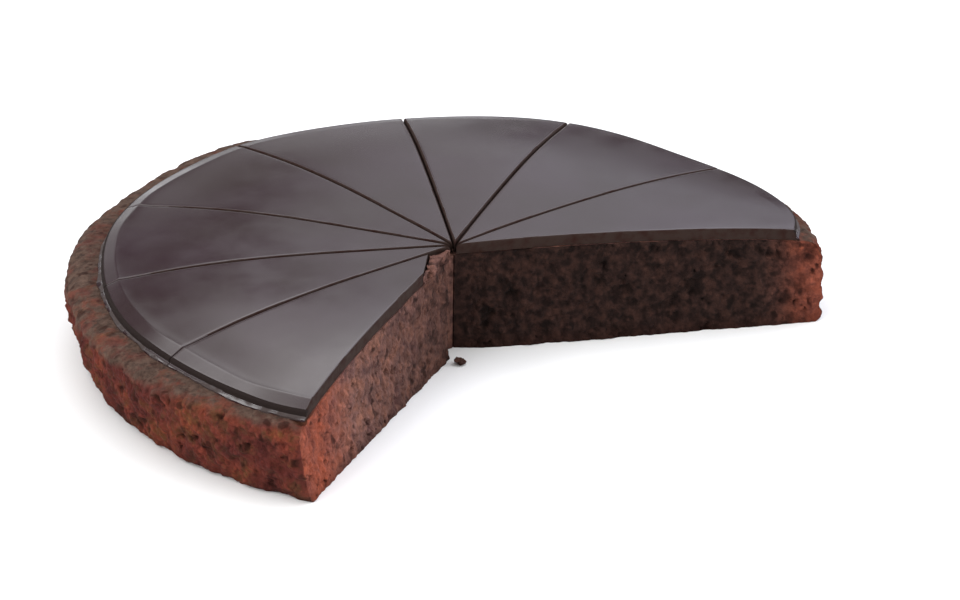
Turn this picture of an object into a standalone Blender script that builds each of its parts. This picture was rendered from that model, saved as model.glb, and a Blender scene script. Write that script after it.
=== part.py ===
"""A round chocolate cake under a smooth glaze, cut into twelfths, with eight slices still standing.

Each slice is two solids: a dense sponge wedge and the wedge of glaze that covers its top. The
slices stand side by side with a knife's cut between them, so they keep the cake's round shape.
The camera side of the cake is -Y, and the missing slices leave a gap that opens there.
"""

import math

import bmesh
import bpy
from mathutils import Vector, noise

MM = 0.001

# The cake's driving sizes, in metres.
CAKE_DIAMETER = 260 * MM      # the sponge at its widest
CAKE_HEIGHT = 39 * MM         # at the middle, glaze included
BASE_DIAMETER = 253 * MM      # where the sponge meets the board
GLAZE_DIAMETER = 242.3 * MM   # the glaze stops short of the sponge's edge
WIDEST_HEIGHT = 23 * MM       # the height at which the side bulges most
RIM_DROP = 7.4 * MM           # how much lower the glaze lies at its rim than at the middle
DOME_POWER = 3.1              # higher keeps the middle flatter and drops the rim faster

# The rounds aren't quite concentric, because the cake sagged as it was turned out.
CUTS_MEET = Vector((3.05, -6.95)) * MM
WIDEST_CENTRE = CUTS_MEET + Vector((-1.9, 2.2)) * MM
BASE_CENTRE = CUTS_MEET + Vector((1.8, -0.5)) * MM
GLAZE_CENTRE = CUTS_MEET + Vector((1.8, 0.0)) * MM

# The knife's cuts, in degrees anticlockwise from +X. A slice stands between each cut and the next.
CUT_ANGLES = (12.4, 41.0, 71.3, 98.9, 128.8, 158.9, 188.7, 217.5, 246.9)
LAST_SLICE = len(CUT_ANGLES) - 1
KNIFE_CUT = 0.4 * MM

# The glaze.
GLAZE_THICKNESS = 3.7 * MM
LAYER_GAP = 0.3 * MM
LIP_ROUND = 2.0 * MM          # radius of the rounded upper edge
LIP_RISE = 0.3 * MM           # the edge set a little proud of the groove behind it
GROOVE_INSET = 4.4 * MM
GROOVE_DEPTH = 0.25 * MM
FOOT_REACH = 1.4 * MM         # the thin foot that ran out on to the sponge
FOOT_HEIGHT = 1.0 * MM
FOOT_TOE = 0.35 * MM

# The sponge's surface.
BASE_ROUND = 1.5 * MM
SWELL_LENGTH = 55 * MM        # slow unevenness of the side and the top
SIDE_SWELL = 1.3 * MM
RIM_SWELL = 0.65 * MM
TOP_SWELL = 0.4 * MM
CRAG_LENGTH = 8 * MM          # crumbly lumps and pits
CRUMB_LENGTH = 3.3 * MM
SIDE_CRAGS = 2.2 * MM
CUT_CRAGS = 1.7 * MM
CALM_EDGE = 0.4               # share of the crags that a cut face keeps along its edges
CUT_SQUARE = 3.8 * MM         # the facets of the two cut faces that lie open
CLEAR_OF_TIP = 9 * MM         # crags start this far from a slice's thin tip

# The two open cut faces lean out towards the base, and more so towards the rim.
LEAN_AT_TIP = 2.2 * MM
LEAN_AT_RIM = 4.2 * MM
LEAN_POWER = 1.5

# The last slice has crumbled at its tip, most at the base, and its glaze broke off further back.
WORN_AT_TOP = 3.0 * MM
WORN_AT_BASE = 8.0 * MM
WORN_GLAZE = 8.5 * MM

SPONGE_COLOUR = (0.098, 0.032, 0.017)
GLAZE_COLOUR = (0.075, 0.056, 0.056)

# How finely the wedges are divided.
SPONGE_STEPS = 14
GLAZE_STEPS = 11
DOME_STATIONS = (0.0, 0.3, 0.55, 0.75, 0.9)
SHOULDER_RINGS = 4
SIDE_RINGS = 6
LIP_RINGS = 3

MERGE = 1e-7
SAME_WAY = 0.9                # cosine between two faces that count as facing one way


def clear_scene():
    for old in list(bpy.data.objects):
        bpy.data.objects.remove(old, do_unlink=True)


def make_material(name, colour, roughness):
    material = bpy.data.materials.new(name)
    material.use_nodes = True
    shader = material.node_tree.nodes["Principled BSDF"]
    shader.inputs["Base Color"].default_value = (*colour, 1.0)
    shader.inputs["Roughness"].default_value = roughness
    shader.inputs["Metallic"].default_value = 0.0
    return material


def heading(angle):
    return Vector((math.cos(angle), math.sin(angle)))


def swell(point, height=0.0):
    """Slow unevenness from about -1 to 1 at a place on the cake."""
    return noise.noise(Vector((point.x, point.y, height)) / SWELL_LENGTH)


def crags(point):
    """Crumbly lumps and pits from about -1 to 1 at a place on the sponge."""
    return 0.6 * noise.noise(point / CRAG_LENGTH) + 0.6 * noise.noise(point / CRUMB_LENGTH)


def reach(tip, angle, centre, diameter):
    """The distance from a slice's tip to one of the cake's rounds."""
    offset = tip - centre
    along = offset.dot(heading(angle))
    return math.sqrt(along ** 2 - offset.length_squared + (diameter / 2) ** 2) - along


def glaze_reach(tip, angle):
    plain = reach(tip, angle, GLAZE_CENTRE, GLAZE_DIAMETER)
    return plain + RIM_SWELL * swell(tip + plain * heading(angle))


def widest_reach(tip, angle):
    plain = reach(tip, angle, WIDEST_CENTRE, CAKE_DIAMETER)
    return plain + SIDE_SWELL * swell(tip + plain * heading(angle), WIDEST_HEIGHT)


def base_reach(tip, angle):
    plain = reach(tip, angle, BASE_CENTRE, BASE_DIAMETER)
    return plain + SIDE_SWELL * swell(tip + plain * heading(angle))


def glaze_top(share):
    """Height of the glaze at a share of the way from the middle to its rim."""
    return CAKE_HEIGHT - RIM_DROP * share ** DOME_POWER


def sponge_top(share):
    return glaze_top(share) - GLAZE_THICKNESS - LAYER_GAP


def shoulder_height(beyond, width):
    """Height of the sponge's bare shoulder at a distance beyond the glaze's rim."""
    turned = math.asin(min(1.0, beyond / width))
    return WIDEST_HEIGHT + (sponge_top(1.0) - WIDEST_HEIGHT) * math.cos(turned)


def sponge_section(tip, angle):
    """Distances from the tip and heights round a sponge wedge, from its top to its base."""
    rim = glaze_reach(tip, angle)
    widest = widest_reach(tip, angle)
    base = base_reach(tip, angle)
    section = [(share * rim, sponge_top(share)) for share in DOME_STATIONS]
    for ring in range(SHOULDER_RINGS):
        beyond = (widest - rim) * math.sin(math.pi / 2 * ring / SHOULDER_RINGS)
        section.append((rim + beyond, shoulder_height(beyond, widest - rim)))
    for ring in range(SIDE_RINGS + 1):
        height = WIDEST_HEIGHT + (BASE_ROUND - WIDEST_HEIGHT) * ring / SIDE_RINGS
        bulge = math.sin(math.pi / 2 * height / WIDEST_HEIGHT)
        section.append((base + (widest - base) * bulge, height))
    section.append((base - BASE_ROUND, 0.0))
    section.append((0.0, 0.0))
    return section


def glaze_section(tip, angle):
    """Distances from the tip and heights round a glaze wedge, over its top and back below."""
    rim = glaze_reach(tip, angle)
    shoulder = widest_reach(tip, angle) - rim
    section = [(share * rim, glaze_top(share)) for share in DOME_STATIONS]
    groove = 1 - GROOVE_INSET / rim
    section.append((rim - GROOVE_INSET, glaze_top(groove) - GROOVE_DEPTH))
    lip_centre = glaze_top(1.0) + LIP_RISE - LIP_ROUND
    for ring in range(LIP_RINGS + 1):
        turned = math.pi / 2 * ring / LIP_RINGS
        lip_edge = rim - LIP_ROUND * (1 - math.sin(turned))
        section.append((lip_edge, lip_centre + LIP_ROUND * math.cos(turned)))
    toe = shoulder_height(FOOT_REACH, shoulder) + LAYER_GAP
    section.append((rim, sponge_top(1.0) + LAYER_GAP + FOOT_HEIGHT))
    section.append((rim + FOOT_REACH, toe + FOOT_TOE))
    section.append((rim + FOOT_REACH, toe))
    section.append((rim, sponge_top(1.0) + LAYER_GAP))
    section += [(share * rim, glaze_top(share) - GLAZE_THICKNESS) for share in reversed(DOME_STATIONS)]
    return section


def slice_tip(first, last):
    """The tip of a slice, set back so that its sides leave half a knife's cut beyond them."""
    set_back = KNIFE_CUT / 2 / math.sin((last - first) / 2)
    return CUTS_MEET + set_back * heading((first + last) / 2)


def spin_wedge(section_at, tip, first, last, steps):
    """Spin a section about the slice's tip, with its own true outline at every step."""
    bm = bmesh.new()
    station = bm.verts.layers.int.new("station")
    outline = section_at(tip, first)
    for number, (distance, height) in enumerate(outline):
        corner = bm.verts.new((distance, 0, height))
        corner[station] = number
    end = bm.faces.new(bm.verts)
    bmesh.ops.spin(bm, geom=[end, *end.edges, *end.verts], cent=(0, 0, 0), axis=(0, 0, 1),
                   angle=last - first, steps=steps, use_duplicate=False)
    sections = [section_at(tip, first + (last - first) * step / steps) for step in range(steps + 1)]
    for corner in bm.verts:
        turned = math.atan2(corner.co.y, corner.co.x)
        step = round(turned / (last - first) * steps)
        distance, height = sections[step][corner[station]]
        plan = tip + distance * heading(first + turned)
        lift = TOP_SWELL * swell(plan) if height > WIDEST_HEIGHT else 0.0
        corner.co = (plan.x, plan.y, height + lift)
    bmesh.ops.remove_doubles(bm, verts=bm.verts, dist=MERGE)
    return bm


def is_bare_side(point):
    """Whether a point lies on the sponge's open side or shoulder, clear of the glaze's foot."""
    from_middle = (Vector((point.x, point.y)) - GLAZE_CENTRE).length
    return from_middle > GLAZE_DIAMETER / 2 + FOOT_REACH + RIM_SWELL


def roughen_side(bm):
    """Push the open side in and out by the crags, and leave the base flat on the board."""
    for corner in bm.verts:
        if is_bare_side(corner.co):
            outward = Vector((corner.co.x, corner.co.y, 0)) - CUTS_MEET.to_3d()
            corner.co += SIDE_CRAGS * crags(corner.co) * outward.normalized()


def wear_tip(bm, tip, angle, at_top, at_base):
    """Cut off a slice's thin end with a plane that leans back towards the base."""
    along = heading(angle)
    slope = (at_base - at_top) / CAKE_HEIGHT
    result = bmesh.ops.bisect_plane(
        bm, geom=[*bm.verts, *bm.edges, *bm.faces], dist=MERGE, clear_inner=True,
        plane_co=(tip + at_base * along).to_3d(), plane_no=Vector((along.x, along.y, slope)).normalized())
    rim = [edge for edge in result["geom_cut"] if isinstance(edge, bmesh.types.BMEdge)]
    bmesh.ops.contextual_create(bm, geom=rim)


def lean(from_tip, height):
    """How far an open cut face stands out at a distance from the tip and a height."""
    at_base = LEAN_AT_TIP + (LEAN_AT_RIM - LEAN_AT_TIP) * from_tip * 2 / CAKE_DIAMETER
    return at_base * max(0.0, 1 - height / sponge_top(0.0)) ** LEAN_POWER


def roughen_cut(bm, tip, angle, outward):
    """Divide an open cut face into squares, lean it out and push it in and out by the crags."""
    along = heading(angle).to_3d()
    level = tip.to_3d()
    faces = [face for face in bm.faces if face.normal.dot(outward) > SAME_WAY]
    geometry = faces + [edge for face in faces for edge in face.edges]
    geometry += list({corner for face in faces for corner in face.verts})
    first_column = int(CLEAR_OF_TIP / CUT_SQUARE)
    columns = int(CAKE_DIAMETER / 2 / CUT_SQUARE)
    rows = int(CAKE_HEIGHT / CUT_SQUARE)
    up = Vector((0, 0, 1))
    cuts = [(level + along * CUT_SQUARE * (column + 0.5), along) for column in range(first_column, columns)]
    cuts += [(up * CUT_SQUARE * (row + 0.5), up) for row in range(rows)]
    for place, normal in cuts:
        result = bmesh.ops.bisect_plane(bm, geom=geometry, dist=MERGE, plane_co=place, plane_no=normal)
        geometry = result["geom"]
    inner = [corner for corner in geometry if isinstance(corner, bmesh.types.BMVert)]
    for corner in inner:
        from_tip = (corner.co - level).dot(along)
        clear = from_tip / CLEAR_OF_TIP
        on_edge = any(face.normal.dot(outward) < SAME_WAY for face in corner.link_faces)
        rough = CUT_CRAGS * (CALM_EDGE if on_edge else 1.0) * max(0.0, min(1.0, clear - 1.0))
        pushed = rough * crags(corner.co) + min(1.0, clear) * lean(from_tip, corner.co.z)
        corner.co += pushed * outward


def finish_object(bm, name, material):
    bmesh.ops.triangulate(bm, faces=bm.faces)
    bmesh.ops.recalc_face_normals(bm, faces=bm.faces)
    mesh = bpy.data.meshes.new(name)
    bm.to_mesh(mesh)
    bm.free()
    mesh.materials.append(material)
    made = bpy.data.objects.new(name, mesh)
    bpy.context.scene.collection.objects.link(made)
    return made


def make_sponge(number, first, last, material):
    tip = slice_tip(first, last)
    bm = spin_wedge(sponge_section, tip, first, last, SPONGE_STEPS)
    if number == LAST_SLICE:
        wear_tip(bm, tip, (first + last) / 2, WORN_AT_TOP, WORN_AT_BASE)
    bm.normal_update()
    roughen_side(bm)
    if number == 1:
        roughen_cut(bm, tip, first, heading(first - math.pi / 2).to_3d())
    if number == LAST_SLICE:
        roughen_cut(bm, tip, last, heading(last + math.pi / 2).to_3d())
    return finish_object(bm, f"sponge_slice_{number}", material)


def make_glaze(number, first, last, material):
    tip = slice_tip(first, last)
    bm = spin_wedge(glaze_section, tip, first, last, GLAZE_STEPS)
    if number == LAST_SLICE:
        wear_tip(bm, tip, (first + last) / 2, WORN_GLAZE, WORN_GLAZE)
    made = finish_object(bm, f"glaze_slice_{number}", material)
    made.data.shade_smooth()
    made.data.set_sharp_from_angle(angle=math.radians(35))
    return made


def main():
    clear_scene()
    sponge = make_material("Chocolate sponge", SPONGE_COLOUR, roughness=0.9)
    glaze = make_material("Chocolate glaze", GLAZE_COLOUR, roughness=0.35)
    angles = [math.radians(angle) for angle in CUT_ANGLES]
    for number, (first, last) in enumerate(zip(angles, angles[1:]), start=1):
        make_sponge(number, first, last, sponge)
        make_glaze(number, first, last, glaze)


main()
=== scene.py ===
"""A round chocolate cake under a satin glaze, sliced, with a wide gap where slices were taken.

Run it as a script in Blender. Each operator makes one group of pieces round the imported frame, and
the panel in the 3D view's sidebar lists the operators with the sizes and colours that they use.
"""

import math

import bmesh
import bpy
from bpy.props import FloatProperty, FloatVectorProperty, PointerProperty
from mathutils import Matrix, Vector, noise


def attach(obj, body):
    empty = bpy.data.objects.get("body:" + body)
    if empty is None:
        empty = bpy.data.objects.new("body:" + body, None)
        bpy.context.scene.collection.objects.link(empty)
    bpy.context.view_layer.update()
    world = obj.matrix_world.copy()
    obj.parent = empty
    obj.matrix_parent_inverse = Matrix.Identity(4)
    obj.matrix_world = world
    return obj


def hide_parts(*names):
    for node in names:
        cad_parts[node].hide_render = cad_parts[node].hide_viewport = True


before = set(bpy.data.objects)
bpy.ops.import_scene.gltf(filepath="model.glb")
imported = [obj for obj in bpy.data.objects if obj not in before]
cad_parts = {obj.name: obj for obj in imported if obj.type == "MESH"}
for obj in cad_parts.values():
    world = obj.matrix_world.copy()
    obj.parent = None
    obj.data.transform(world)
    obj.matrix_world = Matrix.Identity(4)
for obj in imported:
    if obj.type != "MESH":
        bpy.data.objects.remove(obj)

bl_info = {
    "name": "Sliced chocolate cake",
    "version": (1, 0, 0),
    "blender": (4, 5, 0),
    "location": "View3D > Sidebar > Cake",
    "description": "Builds a glazed chocolate cake, its slices and loose crumbs, and a plain stage",
    "category": "Add Mesh",
}

MM = 0.001
UP = Vector((0, 0, 1))
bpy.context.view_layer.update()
BODY = "root"

# Where the rounds of the cake are centred, which differs a little as the cake sagged.
CUTS_MEET = Vector((3.05, -6.95)) * MM
WIDEST_CENTRE = CUTS_MEET + Vector((-1.9, 2.2)) * MM
BASE_CENTRE = CUTS_MEET + Vector((1.8, -0.5)) * MM
GLAZE_CENTRE = CUTS_MEET + Vector((1.8, 0.0)) * MM

# The knife's cuts: direction in degrees, width in the glaze in mm at the middle and the rim, and how
# much of the dragged edge is left at the rim.
KNIFE_CUTS = (
    (12.4, 0.40, 0.40, 1.0),
    (41.0, 0.45, 0.35, 0.7),
    (71.3, 0.75, 0.65, 1.0),
    (98.9, 0.75, 0.70, 1.0),
    (128.8, 0.75, 0.60, 1.0),
    (158.9, 0.85, 0.40, 0.3),
    (188.7, 0.90, 0.40, 0.3),
    (217.5, 0.65, 0.35, 0.2),
    (246.9, 0.40, 0.40, 1.0),
)
SLICES = len(KNIFE_CUTS) - 1
SPONGE_CUT = 0.14 * MM

# The glaze broke off the last slice's tip along a line through this place, in this direction.
BREAK_PLACE = CUTS_MEET + Vector((-8.4, -2.4)) * MM
BREAK_ANGLE = math.radians(264.6)

# Points within this distance are one, and directions whose product is above this are the same.
MERGE = 1e-6
SAME_WAY = 0.9

# What is painted on the sponge's points, each from 0 to 1, with painted shade in hollows and moist parts.
PAINTED = ("hollow_shade", "crust", "rimward", "moist_and_shade", "baked")

# How finely the slices are divided: steps, rings, shares of the way, and places behind the band in mm.
SPONGE_STEPS = 125
GLAZE_STEPS = 60
SHOULDER_RINGS = 16
SIDE_RINGS = 42
TOP_RINGS = 22
LIP_RINGS = 7
FOOT_RINGS = 3
TOP_SHARES = (0.0, 0.3, 0.55, 0.75, 0.9)
BAND_SHARES = (0.05, 0.15, 0.35, 0.6, 0.85, 1.0)
CUT_SHARES = (0.0, 0.12, 0.35, 0.65, 1.0, 1.5)
BEHIND_BAND = (4.5, 3.2, 2.2, 1.4, 0.8, 0.4, 0.1)

# The noise's seed, and the slow unevenness of the sponge's side, the glaze's rim and the top.
NOISE_SEED = 1
SWELL_LENGTH = 55 * MM
SIDE_SWELL = 1.3 * MM
RIM_SWELL = 0.65 * MM
TOP_SWELL = 0.4 * MM

# Where the cake stands out or stays back from its plain rounds: direction and spread in degrees, and
# how far in mm at the glaze's rim and at the side.
BULGES = (
    (9, 6, -4.8, 0.6),
    (24, 17, 1.0, 0.8),
    (50, 10, -1.2, -1.0),
    (75, 17, 3.0, 1.8),
    (127, 12, 2.2, 3.6),
    (155, 24, 2.4, 0.8),
    (219, 12, -1.0, 0.0),
    (241, 9, 1.3, 0.0),
)

# The top drops less towards its rim at the right: direction, spread, and how much higher it lies.
RIGHT_LIFT = (math.radians(17), math.radians(17), 2.1 * MM)
LIFT_FADE = 3 * MM

# The crumb's relief: lumps of two breadths, grains with seams round them, and ragged torn holes.
CRAG_LENGTH = 8 * MM
CRUMB_LENGTH = 3.3 * MM
LUMP_SHARE = 0.6
GRAIN_SLOPE = 1.7
GRAIN_LEVEL = 0.6
SEAM_HOLLOW = 0.35
RAGGEDNESS = 0.8
SMALLEST_PIT = 0.06
PIT_RANGE = 0.34
PIT_SHUFFLE = 7.3
PIT_WALL = 0.6

# The sponge's base edge, and the crust of its bare shoulder, lower at the left and at the back.
BASE_ROUND = 1.5 * MM
BASE_BEND = 0.6 * MM
BAKED_UNDER_RIM = 3 * MM
CRUST_START = 3.2 * MM
LOWER_AT_LEFT = 5.5 * MM
LOWER_AT_BACK = 3.3 * MM
CRUST_FADE = 2.6 * MM
CRUST_FINE = 0.7
CRUST_BROAD = 0.5
CRUST_CALM = 0.65

# The open cut faces: how they lean, where their squares and their relief start, and how they look.
LEAN_POWER = 1.5
SQUARES_START = 3 * MM
RELIEF_START = 0.25
RELIEF_GROWS = 0.5
CALM_EDGE = 0.4
# How much shade is painted in the hollows of the open cut faces.
CUT_HOLLOW_SHADE = 0.8
OUTER_EDGE = 0.85
RIM_REDNESS = 1.6
MOIST_PATCHES = 0.15
TIP_MOISTURE = 0.7

# For each open face: moisture and painted shade at its tip and its rim, dry rim depth, and how torn it is.
# The first face is darkened all over and the last towards its tip, with painted shade besides moisture.
FIRST_FACE = (1.15, 1.15, 26 * MM, 1.4)
LAST_FACE = (0.80, 0.0, 45 * MM, 0.7)

# From where on the glaze's rim slopes more, and over how much of a turn it comes to its full slope.
STEEPER_FROM = math.radians(118)
STEEPER_OVER = math.radians(48)

# How uneven the glaze's band and foot are, and how the foot's toe ends.
BAND_UNEVEN = 0.25
BAND_LENGTH = 25 * MM
FOOT_LENGTH = 16 * MM
FOOT_FINE = 0.4
FOOT_FINE_LENGTH = 5 * MM
LEAST_FOOT = 0.25
TOE_THICKNESS = 0.25 * MM
TOE_SUNK = 0.1 * MM

# Where the dragged edges of the cuts fade towards the rim, and how the glaze sinks beside a cut.
DRAG_FADE_START = 0.78
DRAG_FADE_OVER = 0.17
SINK_DEPTH = 0.02 * MM
SINK_LENGTH = 1.5 * MM
# How far beside a cut the smeared crumb and painted shade reach, measured in the cut's rounding.
SMEAR_AND_SHADE_WIDTH = 1.5

# The glaze's other finishes: their material slots, where they start, and the foot's dull spots.
CUT_FINISH = 1
FOOT_FINISH = 2
FOOT_ROUGHNESS = 0.10
FOOT_SPECULAR = 0.7
LIP_SHARE = 0.7
FOOT_MARGIN = 0.2 * MM
SMEARED = 0.5
SMEAR_DEPTH = 1.0 * MM
SPOT_LEVEL = 1.1
SPOT_CONTRAST = 4.0
SPOT_LENGTH = 4 * MM
SHARP_ANGLE = math.radians(50)

# The crumb heaped at the last slice's tip.
HEAP_FROM_MIDDLE = 1.6 * MM
HEAP_FROM_BREAK = 0.5 * MM
HEAP_SUNK = 0.3 * MM
HEAP_BELOW_TOP = 0.1 * MM
HEAP_RELIEF = 0.6
# How much shade is painted in the heap's hollows.
HEAP_HOLLOW_SHADE = 0.5
HEAP_MOISTURE = 0.55
HEAP_SHRINK = 0.2 * MM

# The loose crumb.
LOOSE_PLACE = Vector((5.5, -20.0, 0.0)) * MM
LOOSE_RADIUS = 1.7 * MM
LOOSE_MOISTURE = 0.75
LOOSE_RELIEF = 0.45
LOOSE_FLATNESS = 0.7
BROAD_KNOBS = 1.3
FINE_KNOBS = 3
KNOBS_PLACE = Vector((3, 1, 2))

# The studio's panels, each over those before it: brightness, softness of its edges, and the lowest
# and highest X, Y and Z of the directions that it covers.
FAR = 2.0
ALL = (-FAR, FAR)
STUDIO_PANELS = (
    (0.92, 0.15, ALL, (0.15, FAR), ALL),
    (0.10, 0.05, (-0.90, -0.040), (0.0, FAR), (0.17, FAR)),
    (0.08, 0.05, (-0.01, 0.55), (0.0, FAR), (-FAR, 0.21)),
    (0.08, 0.05, (0.09, 0.55), (0.0, FAR), (-FAR, 0.26)),
    (0.60, 0.05, (-0.55, -0.110), (0.0, FAR), (-FAR, 0.33)),
    (0.30, 0.05, (-0.19, -0.025), (0.0, FAR), (-FAR, 0.12)),
    (0.80, 0.10, (-FAR, -0.55), (-0.25, FAR), ALL),
    (3.80, 0.10, (-FAR, -0.35), (-FAR, -0.25), ALL),
    (2.90, 0.05, (-0.130, FAR), (0.1, FAR), (0.53, FAR)),
    (4.00, 0.05, (-0.50, -0.05), (0.1, FAR), (0.66, FAR)),
    (2.80, 0.10, (0.60, FAR), (-0.45, FAR), ALL),
    (1.40, 0.06, ALL, ALL, (0.86, FAR)),
    (9.00, 0.05, (-0.82, -0.62), (-0.08, 0.15), (0.58, 0.78)),
)

# Where the cooler light from behind on the right fades in, along X and Y.
COOL_X = (-0.1, 0.1)
COOL_Y = (0.0, 0.3)
CLIP_END = 100

# The materials' patterns: scale, detail and roughness of their noises.
GRAINS = (430, 5.0, 0.68)
MOTTLE = (140, 4.0, 0.62)
SIDE_PATCHES = (55, 2.0, 0.5)
KNOBS = (310, 3.0, 0.5)
OLIVE_PATCHES = (190, 4.0, 0.7)
CRUST_GRAINS = (330, 5.0, 0.7)
RUSTY_PATCHES = (130, 4.0, 0.65)
SPECKS = (240, 2.0, 0.4)
COARSE_RELIEF = (520, 4.0, 0.7)
FINE_RELIEF = (1500, 3.0, 0.6)
GLAZE_CLOUDS = (26, 3.0, 0.55)
GLOSS_PATCHES = (70, 4.0, 0.6)
GLAZE_WAVES = (28, 2.0, 0.5)
GLAZE_SKIN = (420, 2.0, 0.5)
CUT_SMEARS = (300, 4.0, 0.6)
CUT_DRAGS = (600, 3.0, 0.6)
FLOOR_CLOUDS = (6, 2.0, 0.6)

# Shades that the crumb's colours are multiplied by, at levels of the noises.
WHITE = (1.0, 1.0, 1.0)
GRAIN_SHADES = ((0.30, (0.45,) * 3), (0.47, (0.95,) * 3), (0.60, WHITE), (0.74, (1.5,) * 3))
MOTTLE_SHADES = (
    (0.36, (0.62, 0.60, 0.66)), (0.47, WHITE), (0.55, (1.0, 0.92, 0.86)), (0.66, (1.35, 1.22, 1.05)))
SIDE_SHADES = ((0.38, (0.72, 0.70, 0.78)), (0.50, WHITE), (0.62, (1.25, 1.30, 1.05)))
KNOB_SHADES = ((0.38, (0.45,) * 3), (0.50, (0.95,) * 3), (0.62, (1.45, 1.38, 1.3)))
OLIVE_TINT = (0.66, 1.20, 0.80)
# The pit colour's painted shade in moist crumb.
MOIST_PIT_SHADE = (0.004, 0.002, 0.0015)
PATCH_LEVELS = (0.48, 0.62)
# Up to this height the sponge darkens towards its lower edge with painted shade.
BASE_SHADE_HEIGHT = 5 * MM
SMEAR_DULLNESS = 0.6
SHINIER = 0.04
DULLER = 0.06
FLOOR_SHADE = 0.99


def Length(**settings):
    return FloatProperty(unit="LENGTH", **settings)


def Colour(**settings):
    return FloatVectorProperty(subtype="COLOR", min=0, max=1, **settings)


class CakeSizes(bpy.types.PropertyGroup):
    """Sizes of the cake."""
    cake_diameter: Length(name="Cake diameter", description="The sponge at its widest", default=260 * MM)
    cake_height: Length(name="Cake height", description="At the middle, glaze included", default=39 * MM)
    base_diameter: Length(
        name="Base diameter", description="Where the sponge meets the floor", default=253 * MM)
    glaze_diameter: Length(
        name="Glaze diameter", description="The glaze stops short of the edge", default=242.3 * MM)
    widest_height: Length(
        name="Widest height", description="Height at which the side bulges most", default=23 * MM)
    rim_drop: Length(
        name="Rim drop", description="How much lower the glaze lies at its rim", default=7.4 * MM)
    dome_power: FloatProperty(name="Dome power", description="Higher keeps the middle flatter", default=3.1)
    glaze_thickness: Length(name="Glaze thickness", description="Depth of the glaze", default=3.7 * MM)
    layer_gap: Length(name="Layer gap", description="Between the glaze and the sponge", default=0.3 * MM)


class GlazeEdge(bpy.types.PropertyGroup):
    """The glaze's rounded rim and the thin foot that ran out on to the sponge."""
    lip_round: Length(name="Lip round", description="Radius of the rounded upper edge", default=1.3 * MM)
    band_width: Length(
        name="Band width", description="Width of the band that slopes down to the rim", default=5.0 * MM)
    band_tilt: FloatProperty(
        name="Band tilt", description="How steeply that band slopes", default=math.radians(17),
        subtype="ANGLE")
    right_tilt: FloatProperty(
        name="Right tilt", description="How steeply it slopes on the right", default=math.radians(1),
        subtype="ANGLE")
    crease_rise: Length(
        name="Crease rise", description="How proud the band's inner edge stands", default=0.4 * MM)
    crease_spread: Length(
        name="Crease spread", description="How far in from the band the rise dies away", default=2.5 * MM)
    foot_reach: Length(name="Foot reach", description="How far the foot ran out", default=1.2 * MM)
    foot_height: Length(
        name="Foot height", description="Height of the foot against the rim", default=1.0 * MM)
    cut_round: Length(
        name="Cut round", description="Rounding where the knife dragged the glaze", default=0.6 * MM)


class CrumbSizes(bpy.types.PropertyGroup):
    """Relief of the sponge's open sides."""
    side_crags: Length(name="Side crags", description="Relief of the baked side", default=2.2 * MM)
    cut_crags: Length(name="Cut crags", description="Relief of the open cut faces", default=1.7 * MM)
    grain_size: Length(name="Grain size", description="Breadth of a single crumb", default=2.3 * MM)
    grain_height: Length(name="Grain height", description="How far a crumb stands out", default=0.6 * MM)
    pit_spacing: Length(name="Pit spacing", description="Between torn holes in the crumb", default=6.5 * MM)
    pit_depth: Length(name="Pit depth", description="Depth of the torn holes", default=1.4 * MM)
    square: Length(name="Square", description="Size of the mesh squares on open faces", default=0.55 * MM)
    lean_at_tip: Length(
        name="Lean at tip", description="How far an open cut face stands out at the base near its tip",
        default=2.2 * MM)
    lean_at_rim: Length(name="Lean at rim", description="The same near the cake's edge", default=4.2 * MM)
    clear_of_tip: Length(
        name="Clear of tip", description="Where the relief starts on a cut face", default=9 * MM)
    worn_at_top: Length(
        name="Worn at top", description="Crumbled off the last slice's tip at its top", default=3 * MM)
    worn_at_base: Length(
        name="Worn at base", description="Crumbled off the last slice's tip at its base", default=8 * MM)


class CakeColours(bpy.types.PropertyGroup):
    """Colours and gloss of the cake."""
    crumb_side: Colour(
        name="Crumb side", description="The baked side of the sponge", default=(0.116, 0.027, 0.020))
    crumb_rim: Colour(
        name="Crumb rim", description="The cut crumb near the cake's edge", default=(0.270, 0.074, 0.046))
    crumb_inner: Colour(
        name="Crumb inner", description="The cut crumb further in", default=(0.250, 0.125, 0.104))
    # Moist crumb, also laid on as painted shade over the first open face and towards the last one's tip.
    crumb_moist_and_shade: Colour(
        name="Crumb moist", description="Dark moist crumb in the middle of the cake",
        default=(0.027, 0.0130, 0.0105))
    # Painted shade for pits, hollows and the sponge's lower edge, and the dark crumb smeared on the glaze.
    dark_crumb_and_shade: Colour(name="Crumb pit", description="Deep in the crumb", default=(0.018, 0.005, 0.003))
    crust_dark: Colour(
        name="Crust dark", description="Dark parts of the bare shoulder", default=(0.033, 0.020, 0.015))
    crust_light: Colour(
        name="Crust light", description="Light parts of the bare shoulder", default=(0.105, 0.065, 0.049))
    glaze_dark: Colour(
        name="Glaze dark", description="Dark parts of the glaze", default=(0.022, 0.0105, 0.0115))
    glaze_light: Colour(
        name="Glaze light", description="Light parts of the glaze", default=(0.028, 0.0145, 0.019))
    glaze_cut: Colour(
        name="Glaze cut", description="The glaze where the knife laid it open",
        default=(0.026, 0.015, 0.012))
    # Painted shade on the side of the glaze's rim.
    glaze_rim_shade: Colour(
        name="Glaze rim", description="The dull side of the glaze's rim", default=(0.013, 0.008, 0.007))
    glaze_roughness: FloatProperty(
        name="Glaze roughness", description="Satin gloss of the glaze", default=0.19, min=0, max=1)


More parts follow.
